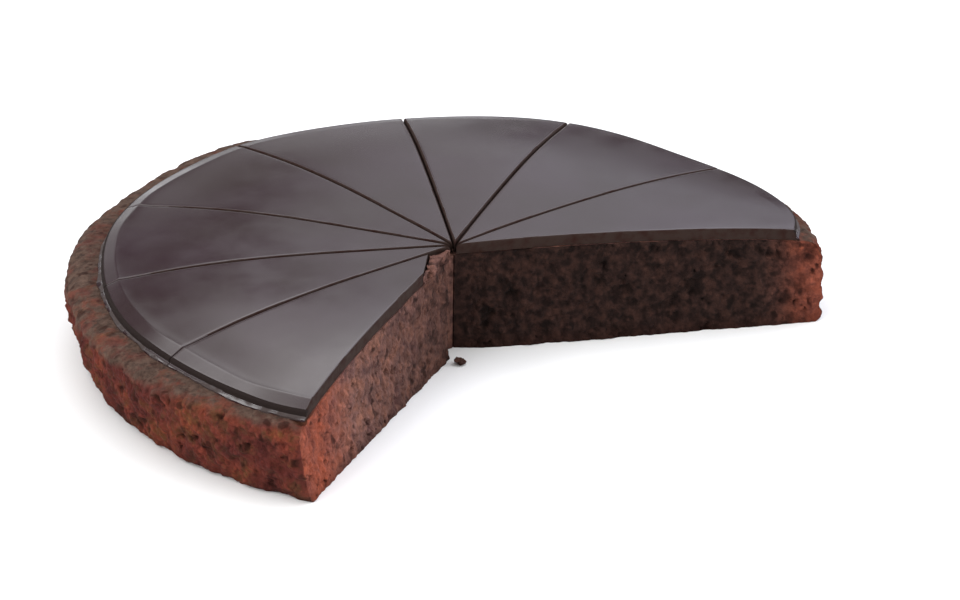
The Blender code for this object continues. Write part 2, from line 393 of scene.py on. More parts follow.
class StageSettings(bpy.types.PropertyGroup):
    """The floor, the soft light and the camera."""
    floor_colour: Colour(name="Floor", description="Colour of the floor", default=(0.9, 0.9, 0.9))
    floor_size: Length(name="Floor size", description="Side of the square floor", default=60.0)
    light: FloatProperty(name="Light", description="Brightness of the whole studio", default=1.0)
    front: FloatProperty(name="Front", description="Brightness of the dark front", default=0.6)
    cool_side: FloatVectorProperty(
        name="Cool side", description="Tint of the studio's light from behind on the right",
        subtype="COLOR", min=0, max=2, default=(0.97, 1.0, 1.10))
    backdrop: FloatProperty(name="Backdrop", description="Brightness of the plain backdrop", default=1.0)
    lens: FloatProperty(name="Lens", description="Focal length in mm", default=296.36)
    camera_place: FloatVectorProperty(
        name="Camera place", description="Where the camera stands", subtype="TRANSLATION",
        default=(0.00387, -2.43302, 1.18775))
    camera_turn: FloatVectorProperty(
        name="Camera turn", description="How the camera is turned", subtype="EULER",
        default=(math.radians(64.2612), math.radians(-0.6411), math.radians(0.1158)))


def clamp(value):
    return max(0.0, min(1.0, value))


def heading(angle):
    return Vector((math.cos(angle), math.sin(angle)))


def swell(point, height=0.0):
    """Slow unevenness from about -1 to 1 at a place on the cake."""
    return noise.noise(Vector((point.x, point.y, height)) / SWELL_LENGTH)


def crags(point):
    """Crumbly lumps from about -1 to 1 at a place on the sponge."""
    return sum(LUMP_SHARE * noise.noise(point / length) for length in (CRAG_LENGTH, CRUMB_LENGTH))


def rim_share(size, plan):
    """How far on the way from the glaze's middle to its rim a place is, 1 beyond the rim."""
    return min(1.0, (plan - GLAZE_CENTRE).length * 2 / size.glaze_diameter)


def right_lift(size, plan):
    """How much higher the top lies at a place because it drops less at the right."""
    direction, spread, most = RIGHT_LIFT
    offset = plan - CUTS_MEET
    turned = (math.atan2(offset.y, offset.x) - direction) / spread
    return most * math.exp(-turned ** 2) * rim_share(size, plan) ** size.dome_power


def bulge(angle, at_rim):
    """How far the cake stands out in a direction, at the glaze's rim or at the side."""
    out = 0.0
    for direction, spread, rim, side in BULGES:
        turned = (angle - math.radians(direction)) / math.radians(spread)
        out += (rim if at_rim else side) * MM * math.exp(-turned ** 2)
    return out


def reach(tip, angle, centre, diameter, at_rim=False, height=0.0):
    """The distance from a slice's tip to one of the cake's rounds, with its bulges and swells."""
    offset = tip - centre
    along = offset.dot(heading(angle))
    plain = math.sqrt(along ** 2 - offset.length_squared + (diameter / 2) ** 2) - along
    plain += bulge(angle, at_rim)
    return plain + (RIM_SWELL if at_rim else SIDE_SWELL) * swell(tip + plain * heading(angle), height)


def glaze_reach(size, tip, angle):
    return reach(tip, angle, GLAZE_CENTRE, size.glaze_diameter, at_rim=True)


def widest_reach(size, tip, angle):
    return reach(tip, angle, WIDEST_CENTRE, size.cake_diameter, height=size.widest_height)


def base_reach(size, tip, angle):
    return reach(tip, angle, BASE_CENTRE, size.base_diameter)


def glaze_top(size, share):
    """Height of the glaze at a share of the way from the middle to its rim."""
    return size.cake_height - size.rim_drop * share ** size.dome_power


def sponge_top(size, share):
    return glaze_top(size, share) - size.glaze_thickness - size.layer_gap


def shoulder_height(size, beyond, width):
    """Height of the sponge's bare shoulder at a distance beyond the glaze's rim."""
    turned = math.asin(min(1.0, beyond / width))
    rise = sponge_top(size, 1.0) - size.widest_height
    return size.widest_height + rise * math.cos(turned)


def slice_plan(number, middle_widths, rim_widths, radius):
    """Tip and side directions of a slice that stands between two knife cuts of these widths."""
    sides = []
    for cut, turn in ((number - 1, 1), (number, -1)):
        angle = math.radians(KNIFE_CUTS[cut][0])
        start = CUTS_MEET + turn * middle_widths[cut] / 2 * heading(angle + math.pi / 2)
        opening = math.atan((rim_widths[cut] - middle_widths[cut]) / 2 / radius)
        sides.append((start, angle + turn * opening))
    (start, first), (other, last) = sides
    along, across = heading(first), heading(last)
    step = (other - start).cross(across) / along.cross(across)
    return start + step * along, first, last


def spin_section(section_at, lines):
    """Spin a section through a slice. Every line, a start and an angle, has its own true section."""
    bm = bmesh.new()
    station = bm.verts.layers.int.new("station")
    line = bm.verts.layers.int.new("line")
    sections = [section_at(start, angle) for start, angle in lines]
    chain = [bm.verts.new((1 + distance, 0, height)) for distance, height in sections[0]]
    for number, corner in enumerate(chain):
        corner[station] = number
    edges = [bm.edges.new(pair) for pair in zip(chain, chain[1:])]
    steps = len(lines) - 1
    bmesh.ops.spin(bm, geom=[*chain, *edges], cent=(0, 0, 0), axis=(0, 0, 1), angle=1.0, steps=steps,
                   use_duplicate=False)
    for corner in bm.verts:
        corner[line] = round(math.atan2(corner.co.y, corner.co.x) * steps)
        start, angle = lines[corner[line]]
        distance, height = sections[corner[line]][corner[station]]
        plan = start + distance * heading(angle)
        corner.co = (plan.x, plan.y, height)
    ends = [[corner for corner in bm.verts if corner[line] == number] for number in (0, steps)]
    for end in ends:
        bm.faces.new(sorted(end, key=lambda corner: corner[station]))
    bmesh.ops.remove_doubles(bm, verts=bm.verts, dist=MERGE)
    bmesh.ops.recalc_face_normals(bm, faces=bm.faces)
    bm.normal_update()
    return bm


def painted_layers(bm):
    return {name: bm.verts.layers.float.new(name) for name in PAINTED}


def cut_away(bm, place, kept):
    """Cut off what lies behind a plane, and close the cut."""
    result = bmesh.ops.bisect_plane(
        bm, geom=[*bm.verts, *bm.edges, *bm.faces], dist=MERGE, clear_inner=True,
        plane_co=place, plane_no=kept)
    rim = [edge for edge in result["geom_cut"] if isinstance(edge, bmesh.types.BMEdge)]
    bmesh.ops.contextual_create(bm, geom=rim)
    bm.normal_update()


def wear_tip(bm, size, crumb, tip, angle):
    """Cut off a slice's thin end with a plane that leans back towards the base."""
    along = heading(angle)
    slope = (crumb.worn_at_base - crumb.worn_at_top) / size.cake_height
    kept = Vector((along.x, along.y, slope)).normalized()
    cut_away(bm, (tip + crumb.worn_at_base * along).to_3d(), kept)


def crumb_relief(crumb, point, cragginess, torn_share=1.0):
    """How far the crumb stands out at a point, and how deep among pits and seams, 0 to 1, for painted
    shade.
    """
    near, _ = noise.voronoi(point / crumb.grain_size)
    grain = min(1.0, GRAIN_SLOPE * (near[1] - near[0]))
    torn = point + crumb.grain_size * RAGGEDNESS * noise.noise_vector(point / crumb.grain_size)
    around, centres = noise.voronoi(torn / crumb.pit_spacing)
    pit_size = SMALLEST_PIT + PIT_RANGE * torn_share * noise.cell(centres[0] * PIT_SHUFFLE) ** 2
    pit = max(0.0, 1.0 - around[0] / pit_size) ** PIT_WALL
    out = cragginess * crags(point) + crumb.grain_height * (grain - GRAIN_LEVEL) - crumb.pit_depth * pit
    return out, min(1.0, SEAM_HOLLOW * (1.0 - grain) + pit)


def finish_piece(bm, name, material, replaced=()):
    """Turn a bmesh into a piece that rides on the body and stands for the solids it replaces."""
    bmesh.ops.recalc_face_normals(bm, faces=bm.faces)
    mesh = bpy.data.meshes.new(name)
    bm.to_mesh(mesh)
    bm.free()
    mesh.materials.append(material)
    piece = bpy.data.objects.new(name, mesh)
    bpy.context.scene.collection.objects.link(piece)
    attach(piece, BODY)
    if replaced:
        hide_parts(*replaced)
    return piece


def sponge_section(size, start, angle):
    """Distances and heights round a sponge wedge, from its top to its base."""
    rim = glaze_reach(size, start, angle)
    widest = widest_reach(size, start, angle)
    base = base_reach(size, start, angle)
    section = [(share * rim, sponge_top(size, share)) for share in TOP_SHARES]
    for ring in range(SHOULDER_RINGS):
        beyond = (widest - rim) * math.sin(math.pi / 2 * ring / SHOULDER_RINGS)
        section.append((rim + beyond, shoulder_height(size, beyond, widest - rim)))
    for ring in range(SIDE_RINGS + 1):
        height = size.widest_height + (BASE_ROUND - size.widest_height) * ring / SIDE_RINGS
        belly = math.sin(math.pi / 2 * height / size.widest_height)
        section.append((base + (widest - base) * belly, height))
    section.append((base - BASE_BEND, BASE_BEND))
    section.append((base - BASE_ROUND, 0.0))
    section.append((0.0, 0.0))
    return section


def roughen_side(bm, size, edge, crumb, layers):
    """Give the baked side its crumbs, and the bare shoulder its flatter crust."""
    covered = size.glaze_diameter / 2 + RIM_SWELL
    for corner in bm.verts:
        from_middle = (corner.co.xy - GLAZE_CENTRE).length
        if from_middle < covered - BAKED_UNDER_RIM:
            continue
        corner[layers["baked"]] = 1.0
        easing = clamp((from_middle - covered) / edge.foot_reach)
        leftward = max(0.0, (CUTS_MEET.x - corner.co.x) / from_middle)
        backward = max(0.0, corner.co.y / from_middle)
        lower = LOWER_AT_LEFT * leftward ** 2 + LOWER_AT_BACK * backward ** 2
        on_top = (corner.co.z - size.widest_height - CRUST_START + lower) / CRUST_FADE
        uneven = CRUST_FINE * noise.noise(corner.co / CRUMB_LENGTH)
        uneven += CRUST_BROAD * noise.noise(corner.co / CRAG_LENGTH)
        corner[layers["crust"]] = clamp(on_top + uneven)
        out, depth = crumb_relief(crumb, corner.co, crumb.side_crags)
        calm = 1 - CRUST_CALM * corner[layers["crust"]]
        # Shade painted in the crumb's hollows, less on the crust.
        corner[layers["hollow_shade"]] = depth * calm * easing
        outward = (corner.co.xy - CUTS_MEET).normalized().to_3d()
        if corner.co.z > size.widest_height:
            outward = (outward + UP).normalized()
        corner.co += out * calm * easing * outward
        corner.co.z = max(0.0, corner.co.z)


def lean(size, crumb, from_tip, height):
    """How far an open cut face stands out at a distance from the tip and a height."""
    growth = (crumb.lean_at_rim - crumb.lean_at_tip) * from_tip * 2 / size.cake_diameter
    return (crumb.lean_at_tip + growth) * max(0.0, 1 - height / sponge_top(size, 0.0)) ** LEAN_POWER


def roughen_cut(bm, size, crumb, tip, angle, outward, look, layers):
    """Divide an open cut face into small squares, lean it out and give it its crumbs."""
    at_tip, at_rim, dry_rim, torn = look
    along = heading(angle).to_3d()
    level = tip.to_3d()
    faces = [face for face in bm.faces if face.normal.dot(outward) > SAME_WAY]
    geometry = faces + [piece for face in faces for piece in face.edges]
    geometry += list({corner for face in faces for corner in face.verts})
    columns = range(int(SQUARES_START / crumb.square), int(size.cake_diameter / 2 / crumb.square))
    cuts = [(level + along * crumb.square * (column + 0.5), along) for column in columns]
    rows = range(int(size.cake_height / crumb.square))
    cuts += [(UP * crumb.square * (row + 0.5), UP) for row in rows]
    for place, normal in cuts:
        result = bmesh.ops.bisect_plane(bm, geom=geometry, dist=MERGE, plane_co=place, plane_no=normal)
        geometry = result["geom"]
    rim = widest_reach(size, tip, angle)
    for corner in geometry:
        if not isinstance(corner, bmesh.types.BMVert):
            continue
        from_tip = (corner.co - level).dot(along)
        clear = from_tip / crumb.clear_of_tip
        on_edge = any(face.normal.dot(outward) < SAME_WAY for face in corner.link_faces)
        out, depth = crumb_relief(crumb, corner.co, crumb.cut_crags, torn)
        calm = (CALM_EDGE if on_edge else 1.0) * clamp((clear - RELIEF_START) / RELIEF_GROWS)
        pushed = calm * out + min(1.0, clear) * lean(size, crumb, from_tip, corner.co.z)
        # Shade painted in the hollows of the open face.
        corner[layers["hollow_shade"]] = CUT_HOLLOW_SHADE * depth * calm
        if not (on_edge and from_tip > OUTER_EDGE * rim):
            corner[layers["crust"]] = 0.0
            corner[layers["baked"]] = 0.0
        dryness = clamp(1 - (rim - from_tip) / dry_rim)
        corner[layers["rimward"]] = min(1.0, RIM_REDNESS * dryness)
        # Moisture with painted shade, from the face's tip to its rim, lighter in the dry rim.
        patchy = MOIST_PATCHES * noise.noise(corner.co / CRAG_LENGTH)
        damp_and_shade = at_tip + (at_rim - at_tip) * min(1.0, from_tip / rim) + patchy
        corner[layers["moist_and_shade"]] = clamp(damp_and_shade) * (1 - dryness ** 2)
        corner.co += pushed * outward


def glaze_section(size, edge, start, angle):
    """Distances and heights round a glaze wedge, over its top, down its rim and back below."""
    rim = glaze_reach(size, start, angle)
    shoulder = widest_reach(size, start, angle) - rim
    place = (start + rim * heading(angle)).to_3d()
    band = edge.band_width * (1 + BAND_UNEVEN * noise.noise(place / BAND_LENGTH))
    steepness = clamp((angle - STEEPER_FROM) / STEEPER_OVER)
    tilt = edge.right_tilt + (edge.band_tilt - edge.right_tilt) * steepness
    lip_inset = edge.lip_round * (1 - math.sin(tilt))
    insets = [rim * (1 - ring / TOP_RINGS) for ring in range(TOP_RINGS - 2)]
    insets += [band + behind * MM for behind in BEHIND_BAND]
    insets += [band - (band - lip_inset) * share for share in BAND_SHARES]
    section = [(rim - inset, glaze_top(size, 1 - inset / rim) + rim_height(edge, band, tilt, inset))
               for inset in insets]
    middle = section[-1][1] - edge.lip_round * math.cos(tilt)
    for ring in range(1, LIP_RINGS + 1):
        turned = tilt + (math.pi / 2 - tilt) * ring / LIP_RINGS
        section.append((rim - edge.lip_round * (1 - math.sin(turned)),
                        middle + edge.lip_round * math.cos(turned)))
    uneven = 1 + noise.noise(place / FOOT_LENGTH) + FOOT_FINE * noise.noise(place / FOOT_FINE_LENGTH)
    foot = edge.foot_reach * max(LEAST_FOOT, uneven)
    bottom = sponge_top(size, 1.0)
    for ring in range(FOOT_RINGS + 1):
        share = ring / FOOT_RINGS
        run = foot * (1 - math.sqrt(1 - share ** 2))
        toe = shoulder_height(size, run, shoulder) - bottom
        height = bottom + toe * share + size.layer_gap + edge.foot_height * (1 - share)
        section.append((rim + run, height + TOE_THICKNESS * share))
    section.append((rim + foot, shoulder_height(size, foot, shoulder) - TOE_SUNK))
    section.append((rim, bottom + size.layer_gap))
    for share in reversed(TOP_SHARES):
        section.append((share * rim, glaze_top(size, share) - size.glaze_thickness))
    return section


def rim_height(edge, band, tilt, inset):
    """What the sloping band and the crease behind it add to the glaze's height."""
    crease = edge.crease_rise * tilt / edge.band_tilt
    if inset > band:
        return crease * math.exp((band - inset) / edge.crease_spread)
    return crease - math.tan(tilt) * (band - inset)


def glaze_lines(edge, tip, first, last):
    """Start and angle of each section line: some beside each cut, the others spread between them."""
    half = (last - first) / 2
    middle = heading(first + half)
    insets = [edge.cut_round * share for share in CUT_SHARES]
    starts = [tip + inset / math.sin(half) * middle for inset in insets]
    beside_first = [(start, first) for start in starts]
    beside_last = [(start, last) for start in reversed(starts)]
    between = [(starts[-1], first + (last - first) * step / GLAZE_STEPS) for step in range(1, GLAZE_STEPS)]
    return beside_first + between + beside_last


def drag_cut_edges(bm, size, edge, number, tip, first, last):
    """Round the glaze down beside the knife cuts, paint smeared crumb and shade along them, let the top
    swell.
    """
    smear_and_shade = bm.verts.layers.float.new("smear_and_shade")
    sides = [(heading(first + math.pi / 2), KNIFE_CUTS[number - 1][3]),
             (heading(last - math.pi / 2), KNIFE_CUTS[number][3])]
    for corner in bm.verts:
        plan = corner.co.xy
        share = rim_share(size, plan)
        fading = clamp((share - DRAG_FADE_START) / DRAG_FADE_OVER)
        if corner.co.z > glaze_top(size, share) - size.glaze_thickness / 2:
            for inward, left_at_rim in sides:
                inset = (plan - tip).dot(inward)
                dragged = 1 + (left_at_rim - 1) * fading
                near = max(0.0, 1 - inset / edge.cut_round)
                corner.co.z -= dragged * edge.cut_round * (1 - math.sqrt(max(0.0, 1 - near ** 2)))
                corner.co.z -= dragged * SINK_DEPTH * math.exp(-inset / SINK_LENGTH)
                # Smeared crumb and painted shade darken the glaze along the knife's line.
                smeared = dragged * clamp(SMEAR_AND_SHADE_WIDTH - inset / edge.cut_round)
                corner[smear_and_shade] = max(corner[smear_and_shade], smeared)
        corner.co.z += TOP_SWELL * swell(plan) + right_lift(size, plan)


def below_rim(size, place):
    """How far a place lies below the height of the glaze's top at its rim."""
    return glaze_top(size, 1.0) + right_lift(size, place.xy) - place.z


def finish_rim(bm, size, edge, tip):
    """Finish the rim's side, with painted shade, and the smeared edges as cut glaze, and the foot shinier
    with dull spots.
    """
    smear_and_shade = bm.verts.layers.float["smear_and_shade"]
    # Marks the rim's side for painted shade.
    bare = bm.verts.layers.float.new("rim")
    foot = size.glaze_thickness - edge.foot_height
    for face in bm.faces:
        place = face.calc_center_median()
        offset = place.xy - tip
        angle = math.atan2(offset.y, offset.x) % math.tau
        if offset.length <= glaze_reach(size, tip, angle) - LIP_SHARE * edge.lip_round:
            continue
        if below_rim(size, place) > foot + FOOT_MARGIN:
            face.material_index = FOOT_FINISH
            continue
        face.material_index = CUT_FINISH
        for corner in face.verts:
            corner[bare] = 1.0
    for corner in bm.verts:
        from_middle = (corner.co.xy - GLAZE_CENTRE).length
        if from_middle > size.glaze_diameter / 2 - RIM_SWELL and below_rim(size, corner.co) > foot:
            # On the foot the same mark only makes dull spots.
            corner[smear_and_shade] = clamp(SPOT_LEVEL + SPOT_CONTRAST * noise.noise(corner.co / SPOT_LENGTH))
    for face in bm.faces:
        on_top = face.calc_center_median().z > glaze_top(size, 1.0) - SMEAR_DEPTH
        if on_top and all(corner[smear_and_shade] > SMEARED for corner in face.verts):
            face.material_index = CUT_FINISH


def heap_crumb(size, crumb):
    """Crumb dragged up where the glaze broke off, between the last two cuts and the break."""
    start, end = [math.radians(cut[0]) for cut in KNIFE_CUTS[-2:]]
    along_break = heading(BREAK_ANGLE)
    corners = [CUTS_MEET + HEAP_FROM_MIDDLE * heading((start + end) / 2)]
    for angle in (start, end):
        side = heading(angle)
        far = (BREAK_PLACE - CUTS_MEET).cross(along_break) / side.cross(along_break)
        corners.append(CUTS_MEET + (far - HEAP_FROM_BREAK) * side)
    bm = bmesh.new()
    base = sponge_top(size, 0.0) - HEAP_SUNK
    face = bm.faces.new([bm.verts.new((*corner, base)) for corner in corners])
    raised = bmesh.ops.extrude_face_region(bm, geom=[face])["geom"]
    tops = [part for part in raised if isinstance(part, bmesh.types.BMVert)]
    bmesh.ops.translate(bm, verts=tops, vec=(0, 0, size.glaze_thickness - HEAP_BELOW_TOP))
    low, high = corners_box(bm)
    for axis in range(3):
        normal = Vector((0, 0, 0))
        normal[axis] = 1
        for number in range(1, int((high[axis] - low[axis]) / crumb.square)):
            bmesh.ops.bisect_plane(bm, geom=[*bm.verts, *bm.edges, *bm.faces], dist=MERGE,
                                   plane_co=low + number * crumb.square * normal, plane_no=normal)
    bmesh.ops.recalc_face_normals(bm, faces=bm.faces)
    bmesh.ops.smooth_vert(
        bm, verts=bm.verts, factor=0.5, use_axis_x=True, use_axis_y=True, use_axis_z=True)
    bm.normal_update()
    layers = painted_layers(bm)
    for corner in bm.verts:
        out, depth = crumb_relief(crumb, corner.co, HEAP_RELIEF * crumb.cut_crags)
        # Shade painted in the heap's hollows.
        corner[layers["hollow_shade"]] = HEAP_HOLLOW_SHADE * depth
        corner[layers["moist_and_shade"]] = HEAP_MOISTURE
        corner.co += (out - HEAP_SHRINK) * corner.normal
    return bm


def corners_box(bm):
    places = [corner.co for corner in bm.verts]
    return [Vector(pick(place[axis] for place in places) for axis in range(3)) for pick in (min, max)]


def loose_crumb():
    """A small crumb that lies loose on the floor."""
    bm = bmesh.new()
    bmesh.ops.create_icosphere(bm, subdivisions=4, radius=LOOSE_RADIUS)
    hollow_shade = bm.verts.layers.float.new("hollow_shade")
    moist_and_shade = bm.verts.layers.float.new("moist_and_shade")
    for corner in bm.verts:
        corner[moist_and_shade] = LOOSE_MOISTURE
        place = corner.co / LOOSE_RADIUS
        knobs = noise.noise(place * BROAD_KNOBS + KNOBS_PLACE) + 0.5 * noise.noise(place * FINE_KNOBS)
        # Shade painted in the loose crumb's hollows.
        corner[hollow_shade] = max(0.0, -knobs)
        corner.co *= 1 + LOOSE_RELIEF * knobs
        corner.co.z *= LOOSE_FLATNESS
    bmesh.ops.translate(bm, verts=bm.verts, vec=LOOSE_PLACE - corners_box(bm)[0].z * UP)
    return bm


def new_material(name, roughness, specular):
    """A material with its nodes, its shader and the places that its patterns follow."""
    material = bpy.data.materials.new(name)
    material.use_nodes = True
    tree = material.node_tree
    shader = tree.nodes["Principled BSDF"]
    shader.inputs["Roughness"].default_value = roughness
    shader.inputs["Specular IOR Level"].default_value = specular
    place = add_node(tree, "ShaderNodeTexCoord").outputs["Object"]
    return material, tree, shader, place


def add_node(tree, kind, links=(), **values):
    """A new node, its settings by name, and its inputs given values or other nodes' outputs."""
    made = tree.nodes.new(kind)
    for name, value in values.items():
        setattr(made, name, value)
    for socket, source in links:
        if hasattr(source, "is_linked"):
            tree.links.new(source, made.inputs[socket])
        else:
            made.inputs[socket].default_value = source
    return made


def colour_ramp(tree, source, stops):
    ramp = add_node(tree, "ShaderNodeValToRGB", [("Fac", source)])
    elements = ramp.color_ramp.elements
    while len(elements) < len(stops):
        elements.new(0.5)
    for element, (place, colour) in zip(elements, stops):
        element.position = place
        element.color = (*colour, 1.0)
    return ramp.outputs["Color"]


def value_ramp(tree, source, low, high, out_low=0.0, out_high=1.0, **values):
    links = [("Value", source), ("From Min", low), ("From Max", high)]
    links += [("To Min", out_low), ("To Max", out_high)]
    return add_node(tree, "ShaderNodeMapRange", links, **values).outputs["Result"]


def mix_colours(tree, share, first, second, blend="MIX"):
    links = [(0, share)]
    for socket, colour in ((6, first), (7, second)):
        links.append((socket, colour if hasattr(colour, "is_linked") else (*colour, 1.0)))
    return add_node(tree, "ShaderNodeMix", links, data_type="RGBA", blend_type=blend).outputs[2]


def noise_value(tree, place, pattern):
    links = [("Vector", place), *zip(("Scale", "Detail", "Roughness"), pattern)]
    return add_node(tree, "ShaderNodeTexNoise", links).outputs["Fac"]


def attribute_value(tree, name):
    return add_node(tree, "ShaderNodeAttribute", attribute_name=name).outputs["Fac"]


def shaded(tree, colour, share, shades):
    """A colour multiplied by shades, as far as the share says."""
    return mix_colours(tree, 1.0, colour, mix_colours(tree, share, WHITE, shades), "MULTIPLY")


def fine_relief(tree, place, pattern, distance, strength, over=None):
    """Relief too fine for the mesh, from a noise, over coarser relief where that is given."""
    height = noise_value(tree, place, pattern)
    links = [("Height", height), ("Distance", distance), ("Strength", strength)]
    if over is not None:
        links.append(("Normal", over))
    return add_node(tree, "ShaderNodeBump", links).outputs["Normal"]


def sponge_material(colours):
    """Reddish, porous crumb, pits and lower edge dark with painted shade, a duller crust on the shoulder.
    """
    material, tree, shader, place = new_material("Chocolate crumb", roughness=0.9, specular=0.1)
    baked = attribute_value(tree, "baked")
    moist_and_shade = attribute_value(tree, "moist_and_shade")
    tone = mix_colours(tree, attribute_value(tree, "rimward"), colours.crumb_inner, colours.crumb_rim)
    tone = mix_colours(tree, moist_and_shade, tone, colours.crumb_moist_and_shade)
    tone = mix_colours(tree, baked, tone, colours.crumb_side)
    grains = colour_ramp(tree, noise_value(tree, place, GRAINS), GRAIN_SHADES)
    crumbs = mix_colours(tree, 1.0, tone, grains, "MULTIPLY")
    mottle = colour_ramp(tree, noise_value(tree, place, MOTTLE), MOTTLE_SHADES)
    dry = value_ramp(tree, moist_and_shade, low=0.4, high=1.0, out_low=1.0, out_high=0.0)
    crumbs = shaded(tree, crumbs, dry, mottle)
    shades = colour_ramp(tree, noise_value(tree, place, SIDE_PATCHES), SIDE_SHADES)
    crumbs = shaded(tree, crumbs, baked, shades)
    knobs = colour_ramp(tree, noise_value(tree, place, KNOBS), KNOB_SHADES)
    crumbs = shaded(tree, crumbs, moist_and_shade, knobs)
    patches = value_ramp(tree, noise_value(tree, place, OLIVE_PATCHES), *PATCH_LEVELS, out_high=0.8)
    olive = mix_colours(tree, 1.0, crumbs, OLIVE_TINT, "MULTIPLY")
    crumbs = mix_colours(tree, multiply(tree, patches, baked), crumbs, olive)
    crust = colour_ramp(tree, noise_value(tree, place, CRUST_GRAINS), (
        (0.34, colours.crust_dark), (0.68, colours.crust_light)))
    rusty = value_ramp(tree, noise_value(tree, place, RUSTY_PATCHES), *PATCH_LEVELS, out_high=0.55)
    crust = mix_colours(tree, rusty, crust, crumbs)
    crumbs = mix_colours(tree, attribute_value(tree, "crust"), crumbs, crust)
    # Painted shade: the pit colour, darker in moist crumb, goes on random specks that stand for tiny holes
    # and into the hollows.
    pit = mix_colours(tree, moist_and_shade, colours.dark_crumb_and_shade, MOIST_PIT_SHADE)
    specks = value_ramp(tree, noise_value(tree, place, SPECKS), low=0.60, high=0.70, out_high=0.7)
    crumbs = mix_colours(tree, specks, crumbs, pit)
    crumbs = mix_colours(tree, attribute_value(tree, "hollow_shade"), crumbs, pit)
    # Painted shade darkening the sponge towards its lower edge, where it meets the floor.
    height = add_node(tree, "ShaderNodeSeparateXYZ", [("Vector", place)]).outputs["Z"]
    foot = value_ramp(tree, height, low=0.0, high=BASE_SHADE_HEIGHT, out_low=0.45, out_high=0.0)
    crumbs = mix_colours(tree, foot, crumbs, colours.dark_crumb_and_shade)
    tree.links.new(crumbs, shader.inputs["Base Color"])
    coarse = fine_relief(tree, place, COARSE_RELIEF, distance=0.7 * MM, strength=0.6)
    fine = fine_relief(tree, place, FINE_RELIEF, distance=0.25 * MM, strength=0.5, over=coarse)
    tree.links.new(fine, shader.inputs["Normal"])
    return material


def glaze_material(colours, name, roughness, specular=0.5):
    """Set chocolate glaze: dark, faintly mauve, satin, dull only where the knife smeared crumb, with
    painted shade there.
    """
    material, tree, shader, place = new_material(name, roughness, specular)
    cloud = value_ramp(tree, noise_value(tree, place, GLAZE_CLOUDS), low=0.35, high=0.65)
    clean = mix_colours(tree, cloud, colours.glaze_dark, colours.glaze_light)
    # Smeared crumb with painted shade along the knife's lines, and dull spots on the foot.
    smear_and_shade = attribute_value(tree, "smear_and_shade")
    tree.links.new(mix_colours(tree, smear_and_shade, clean, colours.dark_crumb_and_shade), shader.inputs["Base Color"])
    gloss = value_ramp(tree, noise_value(tree, place, GLOSS_PATCHES), low=0.3, high=0.7,
                       out_low=roughness - SHINIER, out_high=roughness + DULLER)
    dull = add_node(tree, "ShaderNodeMath", [(0, smear_and_shade), (1, SMEAR_DULLNESS), (2, gloss)],
                    operation="MULTIPLY_ADD")
    tree.links.new(dull.outputs[0], shader.inputs["Roughness"])
    waves = fine_relief(tree, place, GLAZE_WAVES, distance=1.2 * MM, strength=0.06)
    skin = fine_relief(tree, place, GLAZE_SKIN, distance=0.03 * MM, strength=0.08, over=waves)
    tree.links.new(skin, shader.inputs["Normal"])
    return material


def cut_glaze_material(colours):
    """The glaze's open cut faces and the side of its rim: matte, brown, smeared with crumb, and on the rim
    painted shade.
    """
    material, tree, shader, place = new_material("Cut glaze", roughness=0.8, specular=0.1)
    # Crumb that the knife smeared at random over the open glaze.
    smear_and_shade = value_ramp(tree, noise_value(tree, place, CUT_SMEARS), low=0.45, high=0.7)
    tone = mix_colours(tree, smear_and_shade, colours.glaze_cut, colours.dark_crumb_and_shade)
    # Painted shade on the side of the glaze's rim.
    tone = mix_colours(tree, attribute_value(tree, "rim"), tone, colours.glaze_rim_shade)
    tree.links.new(tone, shader.inputs["Base Color"])
    drag = fine_relief(tree, place, CUT_DRAGS, distance=0.25 * MM, strength=0.5)
    tree.links.new(drag, shader.inputs["Normal"])
    return material


def floor_material(colour):
    material, tree, shader, place = new_material("Pale floor", roughness=0.6, specular=0.2)
    cloud = noise_value(tree, place, FLOOR_CLOUDS)
    tint = mix_colours(tree, cloud, colour, [channel * FLOOR_SHADE for channel in colour])
    tree.links.new(tint, shader.inputs["Base Color"])
    return material


class CAKE_OT_sponge(bpy.types.Operator):
    """Make the sponge of every slice, with its crumbly side and open cut faces"""
    bl_idname = "cake.sponge"
    bl_label = "Sponge slices"

    def execute(self, context):
        scene = context.scene
        noise.seed_set(NOISE_SEED)
        size, edge, crumb = scene.cake_sizes, scene.cake_glaze_edge, scene.cake_crumb
        material = sponge_material(scene.cake_colours)
        widths = [SPONGE_CUT] * len(KNIFE_CUTS)
        for number in range(1, SLICES + 1):
            tip, first, last = slice_plan(number, widths, widths, size.cake_diameter / 2)
            turns = [(last - first) * step / SPONGE_STEPS for step in range(SPONGE_STEPS + 1)]
            lines = [(tip, first + turn) for turn in turns]
            bm = spin_section(lambda start, angle: sponge_section(size, start, angle), lines)
            if number == SLICES:
                wear_tip(bm, size, crumb, tip, (first + last) / 2)
            layers = painted_layers(bm)
            for corner in bm.verts:
                if corner.co.z > size.widest_height:
                    lifted = min(1.0, (corner.co.z - size.widest_height) / LIFT_FADE)
                    corner.co.z += TOP_SWELL * swell(corner.co) + lifted * right_lift(size, corner.co.xy)
                if (corner.co.xy - tip).length < crumb.clear_of_tip:
                    corner[layers["moist_and_shade"]] = TIP_MOISTURE
            roughen_side(bm, size, edge, crumb, layers)
            if number == 1:
                outward = heading(first - math.pi / 2).to_3d()
                roughen_cut(bm, size, crumb, tip, first, outward, FIRST_FACE, layers)
            if number == SLICES:
                outward = heading(last + math.pi / 2).to_3d()
                roughen_cut(bm, size, crumb, tip, last, outward, LAST_FACE, layers)
            node = f"sponge_slice_{number}"
            finish_piece(bm, f"sponge_wedge_{number}", material, [node])
        return {"FINISHED"}


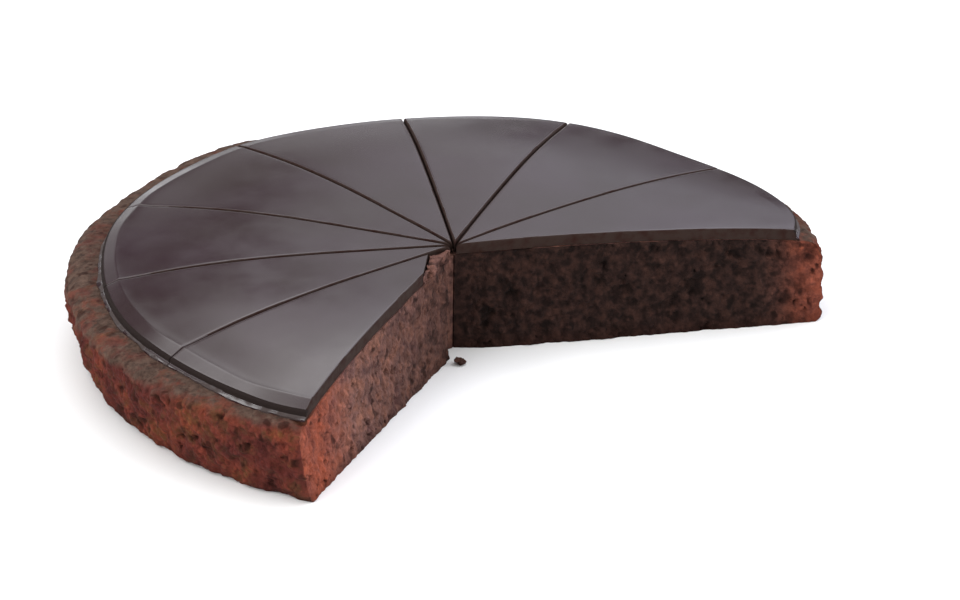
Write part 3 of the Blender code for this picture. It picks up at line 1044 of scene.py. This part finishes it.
class CAKE_OT_glaze(bpy.types.Operator):
    """Make the glaze of every slice, with its rounded rim, thin foot and dragged cut edges"""
    bl_idname = "cake.glaze"
    bl_label = "Glaze slices"

    def execute(self, context):
        scene = context.scene
        size, edge = scene.cake_sizes, scene.cake_glaze_edge
        colours = scene.cake_colours
        material = glaze_material(colours, "Chocolate glaze", colours.glaze_roughness)
        cut_material = cut_glaze_material(colours)
        foot_material = glaze_material(colours, "Glaze foot", FOOT_ROUGHNESS, FOOT_SPECULAR)
        middle_widths = [cut[1] * MM for cut in KNIFE_CUTS]
        rim_widths = [cut[2] * MM for cut in KNIFE_CUTS]
        for number in range(1, SLICES + 1):
            tip, first, last = slice_plan(number, middle_widths, rim_widths, size.glaze_diameter / 2)
            lines = glaze_lines(edge, tip, first, last)
            bm = spin_section(lambda start, angle: glaze_section(size, edge, start, angle), lines)
            drag_cut_edges(bm, size, edge, number, tip, first, last)
            finish_rim(bm, size, edge, tip)
            open_sides = [heading(first - math.pi / 2), heading(last + math.pi / 2)]
            if number == SLICES:
                kept = heading(BREAK_ANGLE - math.pi / 2)
                cut_away(bm, BREAK_PLACE.to_3d(), kept.to_3d())
                open_sides.append(-kept)
            for face in bm.faces:
                if any(face.normal.xy.dot(side) > SAME_WAY for side in open_sides):
                    face.material_index = CUT_FINISH
            node = f"glaze_slice_{number}"
            piece = finish_piece(bm, f"glaze_wedge_{number}", material, [node])
            piece.data.materials.append(cut_material)
            piece.data.materials.append(foot_material)
            piece.data.shade_smooth()
            piece.data.set_sharp_from_angle(angle=SHARP_ANGLE)
        return {"FINISHED"}


class CAKE_OT_crumbs(bpy.types.Operator):
    """Make the crumb heaped at the last slice's tip and the loose crumb beside it"""
    bl_idname = "cake.crumbs"
    bl_label = "Crumbs"

    def execute(self, context):
        scene = context.scene
        noise.seed_set(NOISE_SEED)
        material = sponge_material(scene.cake_colours)
        heap = heap_crumb(scene.cake_sizes, scene.cake_crumb)
        finish_piece(heap, "tip_crumb", material)
        finish_piece(loose_crumb(), "loose_crumb", material)
        return {"FINISHED"}


class CAKE_OT_stage(bpy.types.Operator):
    """Make the plain pale floor, the soft studio light and the camera"""
    bl_idname = "cake.stage"
    bl_label = "Stage"

    def execute(self, context):
        stage = context.scene.cake_stage
        bm = bmesh.new()
        bmesh.ops.create_grid(bm, x_segments=1, y_segments=1, size=stage.floor_size / 2)
        mesh = bpy.data.meshes.new("floor")
        bm.to_mesh(mesh)
        bm.free()
        mesh.materials.append(floor_material(stage.floor_colour))
        floor = bpy.data.objects.new("floor", mesh)
        context.scene.collection.objects.link(floor)
        make_sky(context.scene, stage)
        camera_data = bpy.data.cameras.new("camera")
        camera_data.lens = stage.lens
        camera_data.clip_end = CLIP_END
        camera = bpy.data.objects.new("camera", camera_data)
        camera.location = stage.camera_place
        camera.rotation_euler = stage.camera_turn
        context.scene.collection.objects.link(camera)
        context.scene.camera = camera
        context.scene.view_settings.view_transform = "Standard"
        return {"FINISHED"}


def smooth_step(tree, source, low, high):
    """0 below the low value, 1 above the high one, and smooth between."""
    return value_ramp(tree, source, low, high, interpolation_type="SMOOTHSTEP")


def blend_values(tree, share, first, second):
    return add_node(tree, "ShaderNodeMix", [(0, share), (2, first), (3, second)]).outputs[0]


def multiply(tree, first, second):
    return add_node(tree, "ShaderNodeMath", [(0, first), (1, second)], operation="MULTIPLY").outputs[0]


def make_sky(scene, stage):
    """A soft studio sky of wide panels, behind a plain backdrop."""
    world = bpy.data.worlds.new("Soft studio")
    scene.world = world
    world.use_nodes = True
    tree = world.node_tree
    direction = add_node(tree, "ShaderNodeTexCoord").outputs["Generated"]
    axes = add_node(tree, "ShaderNodeSeparateXYZ", [("Vector", direction)]).outputs
    sky = stage.front
    for brightness, softness, *ranges in STUDIO_PANELS:
        share = 1.0
        for axis, (lowest, highest) in zip(axes, ranges):
            for limit, soft in ((lowest, softness), (highest, -softness)):
                if abs(limit) < FAR:
                    share = multiply(tree, share, smooth_step(tree, axis, limit - soft, limit + soft))
        sky = blend_values(tree, share, sky, brightness)
    seen = add_node(tree, "ShaderNodeLightPath").outputs["Is Camera Ray"]
    sky = blend_values(tree, seen, multiply(tree, sky, stage.light), stage.backdrop)
    cool = multiply(tree, smooth_step(tree, axes["X"], *COOL_X), smooth_step(tree, axes["Y"], *COOL_Y))
    tint = mix_colours(tree, cool, WHITE, stage.cool_side)
    tint = mix_colours(tree, seen, tint, WHITE)
    background = tree.nodes["Background"]
    tree.links.new(sky, background.inputs["Strength"])
    tree.links.new(tint, background.inputs["Color"])


class CAKE_PT_panel(bpy.types.Panel):
    """Lists the cake's operators and settings"""
    bl_label = "Cake"
    bl_idname = "CAKE_PT_panel"
    bl_space_type = "VIEW_3D"
    bl_region_type = "UI"
    bl_category = "Cake"

    def draw(self, context):
        for operator in OPERATORS:
            self.layout.operator(operator.bl_idname)
        for name in SETTINGS:
            settings = getattr(context.scene, name)
            box = self.layout.box()
            for key in settings.__annotations__:
                box.prop(settings, key)


SETTINGS = {
    "cake_sizes": CakeSizes,
    "cake_glaze_edge": GlazeEdge,
    "cake_crumb": CrumbSizes,
    "cake_colours": CakeColours,
    "cake_stage": StageSettings,
}
OPERATORS = (CAKE_OT_sponge, CAKE_OT_glaze, CAKE_OT_crumbs, CAKE_OT_stage)
CLASSES = (*SETTINGS.values(), *OPERATORS, CAKE_PT_panel)


def register():
    for made in CLASSES:
        bpy.utils.register_class(made)
    for name, made in SETTINGS.items():
        setattr(bpy.types.Scene, name, PointerProperty(type=made))


def unregister():
    for name in SETTINGS:
        delattr(bpy.types.Scene, name)
    for made in reversed(CLASSES):
        bpy.utils.unregister_class(made)


def main():
    register()
    bpy.ops.cake.sponge()
    bpy.ops.cake.glaze()
    bpy.ops.cake.crumbs()
    bpy.ops.cake.stage()


if __name__ == "__main__":
    main()
